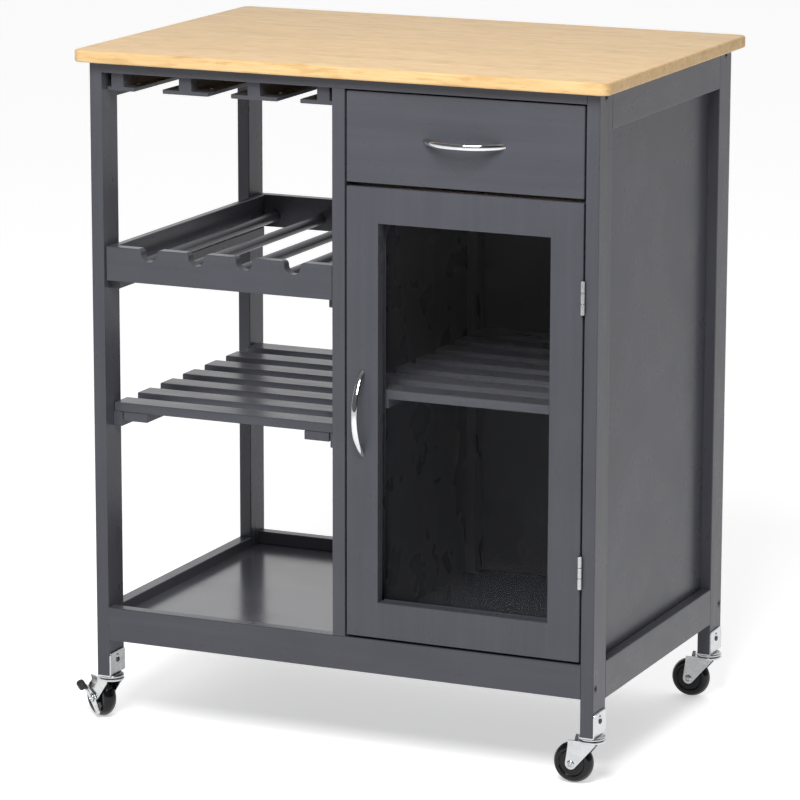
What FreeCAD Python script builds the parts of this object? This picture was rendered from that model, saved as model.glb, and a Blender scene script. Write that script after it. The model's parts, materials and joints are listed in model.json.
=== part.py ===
import FreeCAD, Part
import math
import os

from FreeCAD import Vector

# Kitchen island cart. Millimetres, +Z up, -Y is the front with the drawer and door, +X is to the right.
# The origin is on the floor, under the middle of the body.

# Overall
body_width = 660.0          # over the outer faces of the legs, along X
body_depth = 440.0          # over the front and rear faces of the legs, along Y
leg_length = 766.0
top_thickness = 15.0
top_side_overhang = 15.5
top_end_overhang = 16.5     # front and back
top_corner_radius = 12.0
top_edge_radius = 2.0

# Legs, posts and rails
leg_width = 16.5            # along X
leg_depth = 40.0            # along Y
rail_thickness = 16.0
front_rail_height = 42.0    # front and rear bottom rails
front_rail_lift = 46.0      # bottom rail above the end of the leg
side_rail_height = 46.0     # side rails, top and bottom
side_rail_lift = 39.0
top_rail_height = 13.0      # flat rails under the worktop, front and rear
top_rail_depth = 38.0

# Panels
panel_thickness = 3.0
panel_rebate = 6.0          # how far a thin panel sits in its rebate
floor_thickness = 5.0
floor_drop = 16.5           # top of the floor panel below the top of the front bottom rail

# Stemware rack
stem_rail_count = 4
stem_flange_drop = 22.5     # underside of the top rails to the underside of the flange
stem_flange_thickness = 5.0
stem_flange_width = 62.0
stem_web_width = 16.5
stem_web_gap = 7.5          # end webs to the leg and to the post
stem_end_flange_reach = 15.0
stem_setback = 10.0         # from the front and rear faces of the legs
stem_corner_radius = 3.0

# Bottle rack
rack_lift = 498.5           # underside above the end of the leg
rack_board_height = 42.0
rack_board_thickness = 14.0
rack_side_thickness = 10.0
rack_setback = 3.0
rack_end_gap = 1.5
rack_notch_count = 4
rack_notch_pitch = 64.0
rack_notch_shift = 3.0      # middle of the row of notches, right of the middle of the board
rack_notch_radius = 10.5
rack_notch_depth = 15.5
rack_shoulder_radius = 5.0
rack_dowel_radius = 6.5
rack_dowel_socket = 8.0
rack_dowel_lift = 15.0      # dowel axis above the underside of the boards
rack_cleat_height = 12.0

# Slatted shelves
slat_count = 7
slat_width = 33.0
slat_thickness = 11.5
slat_end_gap = 1.0
shelf_rear_gap = 20.0       # last slat to the rear face of the body
open_shelf_lift = 344.0     # top of the slats above the end of the leg
open_shelf_setback = 20.0
cabinet_shelf_lift = 391.5
cabinet_shelf_setback = 24.0
batten_width = 33.0
batten_height = 11.0
batten_inset = 12.5         # from the ends of the slats
cleat_width = 12.0
cleat_height = 18.0

# Drawer
face_thickness = 17.0       # drawer front and door
drawer_top_gap = 2.0
drawer_front_height = 108.0
drawer_side_thickness = 12.0
drawer_side_height = 82.0
drawer_side_drop = 14.0     # top of the sides below the top of the front
drawer_rear_gap = 40.0      # drawer back to the rear face of the body
drawer_bottom_thickness = 4.0
drawer_bottom_lift = 6.0
drawer_groove_depth = 6.0
runner_thickness = 7.0
runner_height = 34.0
runner_foot_width = 11.0
runner_foot_height = 6.0
runner_gap = 0.8
runner_rest_gap = 0.3

# Door
door_side_gap = 2.2         # on both sides, and holds the two hinge leaves
door_top_gap = 4.6          # between the drawer front and the door
door_bottom_gap = 3.0
stile_width = 41.0
door_top_rail_height = 43.0
door_bottom_rail_height = 44.0
glass_thickness = 3.0
glass_rebate = 6.0
glass_edge_gap = 0.5
bead_width = 11.0
bead_thickness = 3.5

# Bow handles
handle_centres = 96.0
handle_projection = 25.0
handle_width = 8.0
handle_bar_thickness = 4.0
handle_foot_length = 8.0    # along the handle, at each end
handle_screw_radius = 1.6
handle_screw_bite = 2.5
screw_head_radius = 4.0
screw_head_height = 2.5

# Hinges
hinge_length = 40.0
hinge_inset = 110.0         # middle of the hinge from the end of the door
hinge_leaf_thickness = 0.9
hinge_leaf_depth = 14.0
hinge_barrel_radius = 2.8
hinge_barrel_stand = 0.3    # barrel clear of the front face
hinge_pin_radius = 1.3
hinge_pin_clearance = 0.06
hinge_knuckle_gap = 0.3
hinge_sweep_gap = 0.3
hinge_pin_end = 1.0

# Door catch
catch_size = (12.0, 11.0, 40.0)
catch_drop = 60.0           # top of the catch below the top of the door
strike_thickness = 1.2
catch_gap = 0.3

# Leg bolts
bolt_head_radius = 4.5
bolt_head_height = 3.0
bolt_radius = 3.0
bolt_length = 50.0
bottom_bolt_rise = 13.0     # above the underside of the bottom rail

# Casters
wheel_radius = 25.0
wheel_top_gap = 2.3         # wheel to the underside of the fork disc
wheel_width = 18.0
wheel_shoulder = 4.5        # crown height at the edge of the tread
wheel_hub_radius = 8.0
wheel_dish_radius = 17.5
wheel_dish_depth = 2.0
caster_trail = 23.0
axle_radius = 3.0
axle_clearance = 0.08
axle_head_radius = 4.6
axle_head_height = 2.0
fork_clearance = 0.8        # wheel to the fork plates
fork_plate = 1.8
fork_lobe_radius = 7.0
fork_top_lead = 10.0        # top of the fork plates ahead of the swivel axis
fork_foot_lead = 8.0
fork_top_trail = 3.2        # top of the fork plates behind the axle
fork_disc_radius = 16.5
fork_disc_height = 3.5
swivel_gap = 0.6            # bracket race to the fork disc
race_height = 4.0
kingpin_radius = 3.0
kingpin_clearance = 0.08
kingpin_head_radius = 5.5
kingpin_head_height = 1.5
bracket_plate = 1.6
bracket_width = 38.0
bracket_height = 28.0       # side plate above the end of the leg
bracket_corner_radius = 4.0
bracket_screw_lift = 17.0
bracket_screw_head_radius = 3.6
bracket_screw_head_height = 1.4
bracket_screw_radius = 1.6
bracket_screw_length = 7.0
free_caster_angle = 180.0   # trail direction in plan, degrees from +X
left_caster_angle = 150.0   # front left, turned aside

# Brake levers
lever_thickness = 2.0
lever_gap = 0.4
lever_eye_radius = 6.5
lever_arm_length = 18.0
lever_arm_angle = 32.0      # arm above the horizontal, degrees
lever_arm_width = 8.0
lever_tail_length = 19.0
lever_tail_angle = -128.0
lever_knob_radius = 5.2
lever_knob_length = 11.0

parallel_slack = 0.01

# Planes worked out from the sizes above
left_x = -body_width / 2
right_x = body_width / 2
front_y = -body_depth / 2
rear_y = body_depth / 2
leg_z = 2 * wheel_radius + wheel_top_gap + fork_disc_height + swivel_gap + race_height + bracket_plate
top_z = leg_z + leg_length
left_leg_x = left_x + leg_width
right_leg_x = right_x - leg_width
post_left_x = -leg_width / 2
post_right_x = leg_width / 2
front_rail_z = leg_z + front_rail_lift
front_rail_top = front_rail_z + front_rail_height
side_rail_z = leg_z + side_rail_lift
side_rail_top = side_rail_z + side_rail_height
upper_side_rail_z = top_z - side_rail_height
top_rail_z = top_z - top_rail_height
floor_top = front_rail_top - floor_drop
rear_rail_y = rear_y - rail_thickness
drawer_top = top_rail_z - drawer_top_gap
drawer_z = drawer_top - drawer_front_height
door_top = drawer_z - door_top_gap
door_z = front_rail_top + door_bottom_gap
face_left_x = post_right_x + door_side_gap
face_right_x = right_leg_x - door_side_gap
face_back_y = front_y + face_thickness
window_x = (face_left_x + stile_width, face_right_x - stile_width)
window_z = (door_z + door_bottom_rail_height, door_top - door_top_rail_height)
leg_centres_x = (left_x + leg_width / 2, right_x - leg_width / 2)
leg_centres_y = (front_y + leg_depth / 2, rear_y - leg_depth / 2)


def box(x, y, z):
    """Block between the two ends given on each axis."""
    size = (x[1] - x[0], y[1] - y[0], z[1] - z[0])
    return Part.makeBox(*size, Vector(x[0], y[0], z[0]))


def rod(radius, start, end):
    """Cylinder from one point to another."""
    run = Vector(*end) - Vector(*start)
    return Part.makeCylinder(radius, run.Length, Vector(*start), run)


def plate(points, thickness, place):
    """Outline in X and Z, extruded along +Y from place."""
    corners = [Vector(x, place, z) for x, z in points]
    outline = Part.makePolygon(corners + corners[:1])
    return Part.Face(outline).extrude(Vector(0, thickness, 0))


def edges_along(shape, axis):
    """Straight edges that run along one axis."""
    return [edge for edge in shape.Edges
            if edge.tangentAt(edge.FirstParameter).cross(axis).Length < parallel_slack]


def round_edges(shape, radius, along):
    """Fillet the straight edges that run along one axis."""
    return shape.makeFillet(radius, edges_along(shape, along))


def spaced(count, pitch, middle):
    """Places of a row, evenly spaced about its middle."""
    return [middle + (index - (count - 1) / 2) * pitch for index in range(count)]


def tangent_point(point, centre, radius, side):
    """Where a line from a point touches a circle, on its left (+1) or right (-1)."""
    dx, dz = centre[0] - point[0], centre[1] - point[1]
    distance = math.hypot(dx, dz)
    turn = math.atan2(dz, dx) + side * math.asin(radius / distance)
    reach = math.sqrt(distance ** 2 - radius ** 2)
    return (point[0] + reach * math.cos(turn), point[1] + reach * math.sin(turn))


# Frame

def worktop():
    board = box((left_x - top_side_overhang, right_x + top_side_overhang),
                (front_y - top_end_overhang, rear_y + top_end_overhang), (top_z, top_z + top_thickness))
    board = round_edges(board, top_corner_radius, Vector(0, 0, 1))
    upper = [edge for edge in board.Edges if edge.BoundBox.ZMin > top_z + top_thickness / 2]
    lower = [edge for edge in board.Edges if edge.BoundBox.ZMax < top_z + top_thickness / 2]
    return board.makeFillet(top_edge_radius, upper + lower)


def leg(x, y):
    """A leg, named by the middle of its section."""
    return box((x - leg_width / 2, x + leg_width / 2), (y - leg_depth / 2, y + leg_depth / 2), (leg_z, top_z))


def divider_post(y, rail):
    """Post in the middle of the cart. It stands on the floor panel and laps the bottom rail."""
    post = box((post_left_x, post_right_x), (y - leg_depth / 2, y + leg_depth / 2), (floor_top, top_rail_z))
    return post.cut(rail)


def frame_rails():
    between_x = (left_leg_x, right_leg_x)
    between_y = (front_y + leg_depth, rear_y - leg_depth)
    bottom_z = (front_rail_z, front_rail_top)
    rails = {
        "front_top_rail": box(between_x, (front_y, front_y + top_rail_depth), (top_rail_z, top_z)),
        "rear_top_rail": box(between_x, (rear_y - top_rail_depth, rear_y), (top_rail_z, top_z)),
        "front_bottom_rail": box(between_x, (front_y, front_y + rail_thickness), bottom_z),
        "rear_bottom_rail": box(between_x, (rear_rail_y, rear_y), bottom_z),
    }
    sides = {"left": (left_x, left_leg_x), "right": (right_leg_x, right_x)}
    for side, x in sides.items():
        rails[side + "_top_rail"] = box(x, between_y, (upper_side_rail_z, top_z))
        rails[side + "_bottom_rail"] = box(x, between_y, (side_rail_z, side_rail_top))
    return rails


def side_panel():
    """Thin panel flush with the inside of the right legs and rails, rebated into all four."""
    lap = leg_depth - panel_rebate
    return box((right_leg_x, right_leg_x + panel_thickness), (front_y + lap, rear_y - lap),
               (side_rail_top - panel_rebate, upper_side_rail_z + panel_rebate))


def divider_panel():
    """Thin panel flush with the open side of the two posts."""
    lap = leg_depth - panel_rebate
    return box((post_left_x, post_left_x + panel_thickness), (front_y + lap, rear_y - lap),
               (floor_top, top_rail_z))


def back_panel():
    """Thin panel behind the cabinet, flush with the inside of the rear bottom rail."""
    return box((post_right_x - panel_rebate, right_leg_x + panel_rebate),
               (rear_rail_y, rear_rail_y + panel_thickness), (front_rail_top - panel_rebate, top_rail_z))


def bottom_panel():
    """Floor of the open bay and the cabinet, grooved into the front and rear rails."""
    y = (front_y + rail_thickness - panel_rebate, rear_rail_y + panel_rebate)
    return box((left_leg_x, right_leg_x), y, (floor_top - floor_thickness, floor_top))


def frame_bolts():
    """Two bolts through each leg into the ends of the front or rear rails."""
    bolts = []
    heights = (top_z - top_rail_height / 2, front_rail_z + bottom_bolt_rise)
    insets = (top_rail_depth / 2, rail_thickness / 2)
    for outer_x, inward in ((left_x, 1), (right_x, -1)):
        for face_y, back in ((front_y, 1), (rear_y, -1)):
            for z, inset in zip(heights, insets):
                y = face_y + back * inset
                neck_x = outer_x + inward * bolt_head_height
                head = rod(bolt_head_radius, (outer_x, y, z), (neck_x, y, z))
                shank = rod(bolt_radius, (neck_x, y, z), (outer_x + inward * bolt_length, y, z))
                bolts.append(head.fuse(shank))
    return bolts


# Stemware rack

def stem_rail(web_x, flange_x):
    y = (front_y + stem_setback, rear_y - stem_setback)
    flange_z = top_rail_z - stem_flange_drop
    web_z = flange_z + stem_flange_thickness
    flange = round_edges(box(flange_x, y, (flange_z, web_z)), stem_corner_radius, Vector(0, 0, 1))
    web = box((web_x - stem_web_width / 2, web_x + stem_web_width / 2), y, (web_z, top_rail_z))
    return flange.fuse(web).removeSplitter()


def stemware_rails():
    """Rails that glass feet slide along. The two end rails have one narrow side."""
    first = left_leg_x + stem_web_gap + stem_web_width / 2
    last = post_left_x - stem_web_gap - stem_web_width / 2
    pitch = (last - first) / (stem_rail_count - 1)
    end_reach = stem_web_width / 2 + stem_web_gap - slat_end_gap
    rails = []
    for index, web_x in enumerate(spaced(stem_rail_count, pitch, (first + last) / 2)):
        reach_left = reach_right = stem_flange_width / 2
        if index == 0:
            reach_left = end_reach
            reach_right = stem_web_width / 2 + stem_end_flange_reach
        if index == stem_rail_count - 1:
            reach_right = end_reach
        rails.append(stem_rail(web_x, (web_x - reach_left, web_x + reach_right)))
    return rails


# Bottle rack

rack_x = (left_leg_x + rack_end_gap, post_left_x - rack_end_gap)
rack_z = (leg_z + rack_lift, leg_z + rack_lift + rack_board_height)
rack_row_x = (rack_x[0] + rack_x[1]) / 2 + rack_notch_shift


def notch_cutter(x, y):
    """Round-bottomed notch for a bottle neck, with rounded shoulders at the top of the board."""
    radius, shoulder = rack_notch_radius, rack_shoulder_radius
    top = rack_z[1]
    mouth = radius + shoulder
    well = rod(radius, (x, y[0], top - rack_notch_depth + radius), (x, y[1], top - rack_notch_depth + radius))
    slot = box((x - radius, x + radius), y, (top - rack_notch_depth + radius, top))
    flare = box((x - mouth, x + mouth), y, (top - shoulder, top))
    for side in (-1, 1):
        post = (x + side * mouth, y[0], top - shoulder)
        flare = flare.cut(rod(shoulder, post, (post[0], y[1], post[2])))
    return well.fuse([slot, flare])


def rack_front_board():
    y = (front_y + rack_setback, front_y + rack_setback + rack_board_thickness)
    board = box(rack_x, y, rack_z)
    for x in spaced(rack_notch_count, rack_notch_pitch, rack_row_x):
        board = board.cut(notch_cutter(x, y))
    return board


def rack_rear_board():
    back = rear_y - rack_setback
    return box(rack_x, (back - rack_board_thickness, back), rack_z)


def rack_sides():
    reach = rack_setback + rack_board_thickness
    y = (front_y + reach, rear_y - reach)
    left = box((rack_x[0], rack_x[0] + rack_side_thickness), y, rack_z)
    right = box((rack_x[1] - rack_side_thickness, rack_x[1]), y, rack_z)
    return [left, right]


def rack_dowels():
    """Round bars between the two boards, one beside each notch."""
    z = rack_z[0] + rack_dowel_lift
    reach = rack_setback + rack_board_thickness - rack_dowel_socket
    ends = (front_y + reach, rear_y - reach)
    places = spaced(rack_notch_count + 1, rack_notch_pitch, rack_row_x)
    return [rod(rack_dowel_radius, (x, ends[0], z), (x, ends[1], z)) for x in places]


# Shelves

def shelf(bay_x, lift, setback):
    """Slats, and the two battens that tie them together."""
    x = (bay_x[0] + slat_end_gap, bay_x[1] - slat_end_gap)
    z = leg_z + lift
    first_y = front_y + setback
    last_y = rear_y - shelf_rear_gap
    pitch = (last_y - first_y - slat_width) / (slat_count - 1)
    slats = []
    for index in range(slat_count):
        slat_y = first_y + index * pitch
        slats.append(box(x, (slat_y, slat_y + slat_width), (z - slat_thickness, z)))
    battens = []
    for left in (x[0] + batten_inset, x[1] - batten_inset - batten_width):
        battens.append(box((left, left + batten_width), (first_y, last_y),
                           (z - slat_thickness - batten_height, z - slat_thickness)))
    return slats, battens


def cleats(bay_x, y, top, height):
    """One cleat on each side of a bay, under the ends of what it carries."""
    left = box((bay_x[0], bay_x[0] + cleat_width), y, (top - height, top))
    right = box((bay_x[1] - cleat_width, bay_x[1]), y, (top - height, top))
    return [left, right]


# Drawer

drawer_back_y = rear_y - drawer_rear_gap
drawer_side_top = drawer_top - drawer_side_drop
drawer_side_z = drawer_side_top - drawer_side_height
drawer_box_x = (post_right_x + runner_thickness + runner_gap, right_leg_x - runner_thickness - runner_gap)
drawer_inner_x = (drawer_box_x[0] + drawer_side_thickness, drawer_box_x[1] - drawer_side_thickness)


def drawer_runners():
    """L-shaped wooden runners on the posts and legs. The drawer sides rest on their feet."""
    y = (face_back_y + catch_gap, rear_rail_y)
    foot_top = drawer_side_z - runner_rest_gap
    z = (foot_top - runner_foot_height, foot_top - runner_foot_height + runner_height)
    runners = []
    for wall_x, inward in ((post_right_x, 1), (right_leg_x, -1)):
        inner_x = wall_x + inward * runner_thickness
        toe_x = inner_x + inward * runner_foot_width
        upright = box(sorted((wall_x, inner_x)), y, z)
        foot = box(sorted((inner_x, toe_x)), y, (z[0], foot_top))
        runners.append(upright.fuse(foot).removeSplitter())
    return runners


def drawer_bottom():
    z = drawer_side_z + drawer_bottom_lift
    groove = drawer_groove_depth
    return box((drawer_inner_x[0] - groove, drawer_inner_x[1] + groove),
               (face_back_y - groove, drawer_back_y - drawer_side_thickness + groove),
               (z, z + drawer_bottom_thickness))


def drawer_pieces():
    bottom = drawer_bottom()
    side_y = (face_back_y, drawer_back_y)
    side_z = (drawer_side_z, drawer_side_top)
    pieces = {
        "drawer_front": box((face_left_x, face_right_x), (front_y, face_back_y), (drawer_z, drawer_top)),
        "drawer_left_side": box((drawer_box_x[0], drawer_inner_x[0]), side_y, side_z),
        "drawer_right_side": box((drawer_inner_x[1], drawer_box_x[1]), side_y, side_z),
        "drawer_back": box(drawer_inner_x, (drawer_back_y - drawer_side_thickness, drawer_back_y), side_z),
    }
    pieces = {name: shape.cut(bottom) for name, shape in pieces.items()}
    pieces["drawer_bottom"] = bottom
    return pieces


# Door

def glass():
    lap = glass_rebate - glass_edge_gap
    return box((window_x[0] - lap, window_x[1] + lap), (face_back_y - glass_thickness, face_back_y),
               (window_z[0] - lap, window_z[1] + lap))


def glass_beads():
    """Four flat strips screwed to the back of the door over the edge of the glass."""
    y = (face_back_y, face_back_y + bead_thickness)
    out_x = (window_x[0] - bead_width, window_x[1] + bead_width)
    out_z = (window_z[0] - bead_width, window_z[1] + bead_width)
    return [box((out_x[0], window_x[0]), y, out_z), box((window_x[1], out_x[1]), y, out_z),
            box(window_x, y, (out_z[0], window_z[0])), box(window_x, y, (window_z[1], out_z[1]))]


def door_frame():
    """Stiles run the full height, and the rails fit between them. All are rebated for the glass."""
    y = (front_y, face_back_y)
    rebate = box((window_x[0] - glass_rebate, window_x[1] + glass_rebate),
                 (face_back_y - glass_thickness, face_back_y),
                 (window_z[0] - glass_rebate, window_z[1] + glass_rebate))
    stiles = [box((face_left_x, window_x[0]), y, (door_z, door_top)),
              box((window_x[1], face_right_x), y, (door_z, door_top))]
    rails = [box(window_x, y, (door_z, window_z[0])), box(window_x, y, (window_z[1], door_top))]
    return [stile.cut(rebate) for stile in stiles], [rail.cut(rebate) for rail in rails]


def magnetic_catch():
    size_x, size_y, size_z = catch_size
    y = face_back_y + strike_thickness + catch_gap
    z = door_top - catch_drop
    return box((post_right_x, post_right_x + size_x), (y, y + size_y), (z - size_z, z))


def door_strike():
    z = door_top - catch_drop
    return box((face_left_x, post_right_x + catch_size[0]), (face_back_y, face_back_y + strike_thickness),
               (z - catch_size[2], z))


# Handles

def bow_side(start_x, peak):
    """Arc from a foot at start_x, through the peak, to the other foot."""
    return Part.Arc(Vector(start_x, 0, 0), Vector(0, -peak, 0), Vector(-start_x, 0, 0)).toShape()


def bow_handle():
    """Handle along X at the origin, standing out towards -Y from a face at y = 0."""
    reach = (handle_centres + handle_foot_length) / 2
    inner_reach = (handle_centres - handle_foot_length) / 2
    bow = bow_side(-reach, handle_projection)
    hollow = bow_side(inner_reach, handle_projection - handle_bar_thickness)
    feet = [Part.makeLine(Vector(side * reach, 0, 0), Vector(side * inner_reach, 0, 0)) for side in (1, -1)]
    outline = Part.Wire([bow, feet[0], hollow, feet[1]])
    handle = Part.Face(outline).extrude(Vector(0, 0, handle_width))
    handle.translate(Vector(0, 0, -handle_width / 2))
    return handle


def handle_screws():
    """Screws for a handle along X at the origin, through a face of face_thickness."""
    screws = []
    for x in (-handle_centres / 2, handle_centres / 2):
        shank = rod(handle_screw_radius, (x, face_thickness, 0), (x, -handle_screw_bite, 0))
        head_y = face_thickness + screw_head_height
        head = rod(screw_head_radius, (x, face_thickness, 0), (x, head_y, 0))
        screws.append(shank.fuse(head))
    return screws


def placed_handle(x, z, upright):
    """A handle without its screw holes, and its screws, moved to the front of the cart."""
    pieces = [bow_handle()] + handle_screws()
    for piece in pieces:
        if upright:
            piece.rotate(Vector(0, 0, 0), Vector(0, 1, 0), 90)
        piece.translate(Vector(x, front_y, z))
    return pieces[0].cut(pieces[1:]), pieces[1:]


# Hinges

hinge_axis_x = right_leg_x - door_side_gap / 2
hinge_axis_y = front_y - hinge_barrel_radius - hinge_barrel_stand


def hinge_leaf(x, z, spans, others, bore):
    """Leaf plate with barrels on some spans, cut clear of the barrels of the other leaf."""
    leaf = box(x, (hinge_axis_y, front_y + hinge_leaf_depth), z)
    for span in others:
        low = (hinge_axis_x, hinge_axis_y, span[0] - hinge_knuckle_gap)
        high = (hinge_axis_x, hinge_axis_y, span[1] + hinge_knuckle_gap)
        leaf = leaf.cut(rod(hinge_barrel_radius + hinge_sweep_gap, low, high))
    for span in spans:
        low = (hinge_axis_x, hinge_axis_y, span[0])
        high = (hinge_axis_x, hinge_axis_y, span[1])
        leaf = leaf.fuse(rod(hinge_barrel_radius, low, high))
    start = (hinge_axis_x, hinge_axis_y, z[0] - hinge_pin_end)
    return leaf.cut(rod(bore, start, (start[0], start[1], z[1] + hinge_pin_end))).removeSplitter()


def hinge(middle):
    """Frame leaf, door leaf and pin of one three-knuckle butt hinge."""
    z = (middle - hinge_length / 2, middle + hinge_length / 2)
    third = hinge_length / 3
    ends = [(z[0], z[0] + third), (z[1] - third, z[1])]
    centre = [(z[0] + third + hinge_knuckle_gap, z[1] - third - hinge_knuckle_gap)]
    frame_x = (right_leg_x - hinge_leaf_thickness, right_leg_x)
    door_x = (face_right_x, face_right_x + hinge_leaf_thickness)
    frame_leaf = hinge_leaf(frame_x, z, ends, centre, hinge_pin_radius)
    door_leaf = hinge_leaf(door_x, z, centre, ends, hinge_pin_radius + hinge_pin_clearance)
    pin = rod(hinge_pin_radius, (hinge_axis_x, hinge_axis_y, z[0]), (hinge_axis_x, hinge_axis_y, z[1]))
    return frame_leaf, door_leaf, pin


# Casters. Each is modelled with its swivel axis on Z at the origin and its wheel trailing along +X.

axle_z = wheel_radius
fork_half = wheel_width / 2 + fork_clearance
fork_outer = fork_half + fork_plate
race_z = leg_z - bracket_plate - race_height
disc_top = race_z - swivel_gap
disc_z = disc_top - fork_disc_height


def caster_bracket(x, y):
    """Angle of bent steel under a leg and up its right side, with the swivel race and kingpin."""
    inner = leg_width / 2
    outer = inner + bracket_plate
    half_y = bracket_width / 2
    base = box((-inner, outer), (-half_y, half_y), (leg_z - bracket_plate, leg_z))
    race = rod(fork_disc_radius, (0, 0, race_z), (0, 0, leg_z - bracket_plate))
    kingpin = rod(kingpin_radius, (0, 0, disc_z - fork_clearance), (0, 0, race_z))
    head_z = disc_z - fork_clearance
    head = rod(kingpin_head_radius, (0, 0, head_z - kingpin_head_height), (0, 0, head_z))
    side = box((inner, outer), (-half_y, half_y), (leg_z - bracket_plate, leg_z + bracket_height))
    upper = [edge for edge in edges_along(side, Vector(1, 0, 0)) if edge.BoundBox.ZMin > leg_z]
    side = side.makeFillet(bracket_corner_radius, upper)
    bracket = base.fuse([race, kingpin, head, side]).removeSplitter()
    bracket.translate(Vector(x, y, 0))
    return bracket


def bracket_screw(x, y):
    """Screw through the side of a bracket into its leg."""
    z = leg_z + bracket_screw_lift
    plate_x = x + leg_width / 2 + bracket_plate
    head_x = plate_x + bracket_screw_head_height
    tip_x = plate_x - bracket_screw_length
    head = rod(bracket_screw_head_radius, (plate_x, y, z), (head_x, y, z))
    return head.fuse(rod(bracket_screw_radius, (plate_x, y, z), (tip_x, y, z)))


def fork_plate_outline():
    """Side of the fork: broad under the swivel disc, narrowing to a round lobe at the axle."""
    trailing = (caster_trail + fork_top_trail, disc_top)
    leading = (-fork_foot_lead, disc_z - fork_plate)
    lead_top = (-fork_top_lead, disc_top)
    axle = (caster_trail, axle_z)
    return [lead_top, trailing, tangent_point(trailing, axle, fork_lobe_radius, 1),
            tangent_point(leading, axle, fork_lobe_radius, -1), leading]


def caster_fork(braked):
    """Swivel disc and two side plates. The axle rivet is a second solid held in the plates."""
    disc = rod(fork_disc_radius, (0, 0, disc_z), (0, 0, disc_top))
    fork = disc
    for inner_y in (-fork_outer, fork_half):
        side = plate(fork_plate_outline(), fork_plate, inner_y)
        fork = fork.fuse([side, axle_rod(fork_lobe_radius, inner_y, inner_y + fork_plate)])
    hole = kingpin_radius + kingpin_clearance
    fork = fork.cut(rod(hole, (0, 0, disc_z), (0, 0, disc_top)))
    axle = caster_axle(braked)
    return [fork.cut(axle).removeSplitter(), axle]


def axle_rod(radius, start_y, end_y):
    """Cylinder round the axle's line."""
    return rod(radius, (caster_trail, start_y, axle_z), (caster_trail, end_y, axle_z))


def caster_axle(braked):
    """Rivet with a head outside each fork plate, longer where it also carries a brake lever."""
    far_y = fork_outer + (2 * lever_gap + lever_thickness if braked else 0)
    near_head = axle_rod(axle_head_radius, -fork_outer - axle_head_height, -fork_outer)
    far_head = axle_rod(axle_head_radius, far_y, far_y + axle_head_height)
    return axle_rod(axle_radius, -fork_outer, far_y).fuse([near_head, far_head]).removeSplitter()


def caster_wheel():
    """Solid wheel with a crowned tread, dished sides and a plain bore."""
    half = wheel_width / 2
    dish = half - wheel_dish_depth
    shoulder = wheel_radius - wheel_shoulder
    bore = axle_radius + axle_clearance
    crown_points = (Vector(0, -half, shoulder), Vector(0, 0, wheel_radius), Vector(0, half, shoulder))
    crown = Part.Arc(*crown_points).toShape()
    corners = [(half, shoulder), (half, wheel_dish_radius), (dish, wheel_dish_radius - wheel_dish_depth),
               (dish, wheel_hub_radius + wheel_dish_depth), (half, wheel_hub_radius), (half, bore)]
    corners += [(-y, r) for y, r in reversed(corners)]
    outline = Part.makePolygon([Vector(0, y, r) for y, r in corners])
    wheel = Part.Face(Part.Wire([crown] + outline.Edges)).revolve(Vector(0, 0, 0), Vector(0, 1, 0), 360)
    wheel.translate(Vector(caster_trail, 0, axle_z))
    return wheel


def brake_lever():
    """Pressed lever on the axle beside the fork: an arm up to a round pedal, and a tail downwards."""
    y = (fork_outer + lever_gap, fork_outer + lever_gap + lever_thickness)
    knob_y = y[0] + lever_knob_radius
    knob_end = lever_arm_length + lever_knob_length
    lever = axle_rod(lever_eye_radius, *y)
    for length, angle in ((lever_arm_length, lever_arm_angle), (lever_tail_length, lever_tail_angle)):
        bar = box((0, length), y, (-lever_arm_width / 2, lever_arm_width / 2))
        bar = bar.fuse(rod(lever_arm_width / 2, (length, y[0], 0), (length, y[1], 0)))
        bar.rotate(Vector(0, 0, 0), Vector(0, -1, 0), angle)
        bar.translate(Vector(caster_trail, 0, axle_z))
        lever = lever.fuse(bar)
    knob = rod(lever_knob_radius, (lever_arm_length, knob_y, 0), (knob_end, knob_y, 0))
    knob.rotate(Vector(0, 0, 0), Vector(0, -1, 0), lever_arm_angle)
    knob.translate(Vector(caster_trail, 0, axle_z))
    return lever.fuse(knob).cut(axle_rod(axle_radius + axle_clearance, *y)).removeSplitter()


def placed_caster(x, y, angle, braked):
    """Fork with its axle, wheel, and brake lever if there is one, under the leg at x, y."""
    groups = [caster_fork(braked), [caster_wheel()]]
    if braked:
        groups.append([brake_lever()])
    for piece in [piece for group in groups for piece in group]:
        piece.rotate(Vector(0, 0, 0), Vector(0, 0, 1), angle)
        piece.translate(Vector(x, y, 0))
    return groups


# Assembly

def build_frame(nodes):
    bolts = frame_bolts()
    panels = {"right_side_panel": side_panel(), "divider_panel": divider_panel(), "back_panel": back_panel(),
              "bottom_panel": bottom_panel()}
    cutters = bolts + list(panels.values())
    rails = frame_rails()
    posts = {"front_divider_post": divider_post(leg_centres_y[0], rails["front_bottom_rail"]),
             "rear_divider_post": divider_post(leg_centres_y[1], rails["rear_bottom_rail"])}
    for name, shape in {**rails, **posts}.items():
        nodes[name] = [shape.cut(cutters)]
    brackets, screws = [], []
    for side, x in zip(("left", "right"), leg_centres_x):
        for end, y in zip(("front", "rear"), leg_centres_y):
            screw = bracket_screw(x, y)
            nodes[end + "_" + side + "_leg"] = [leg(x, y).cut(cutters + [screw])]
            brackets.append(caster_bracket(x, y).cut(screw))
            screws.append(screw)
    for name, shape in panels.items():
        nodes[name] = [shape]
    nodes["worktop"] = [worktop()]
    nodes["frame_bolts"] = bolts
    nodes["caster_brackets"] = brackets
    nodes["caster_bracket_screws"] = screws


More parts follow.
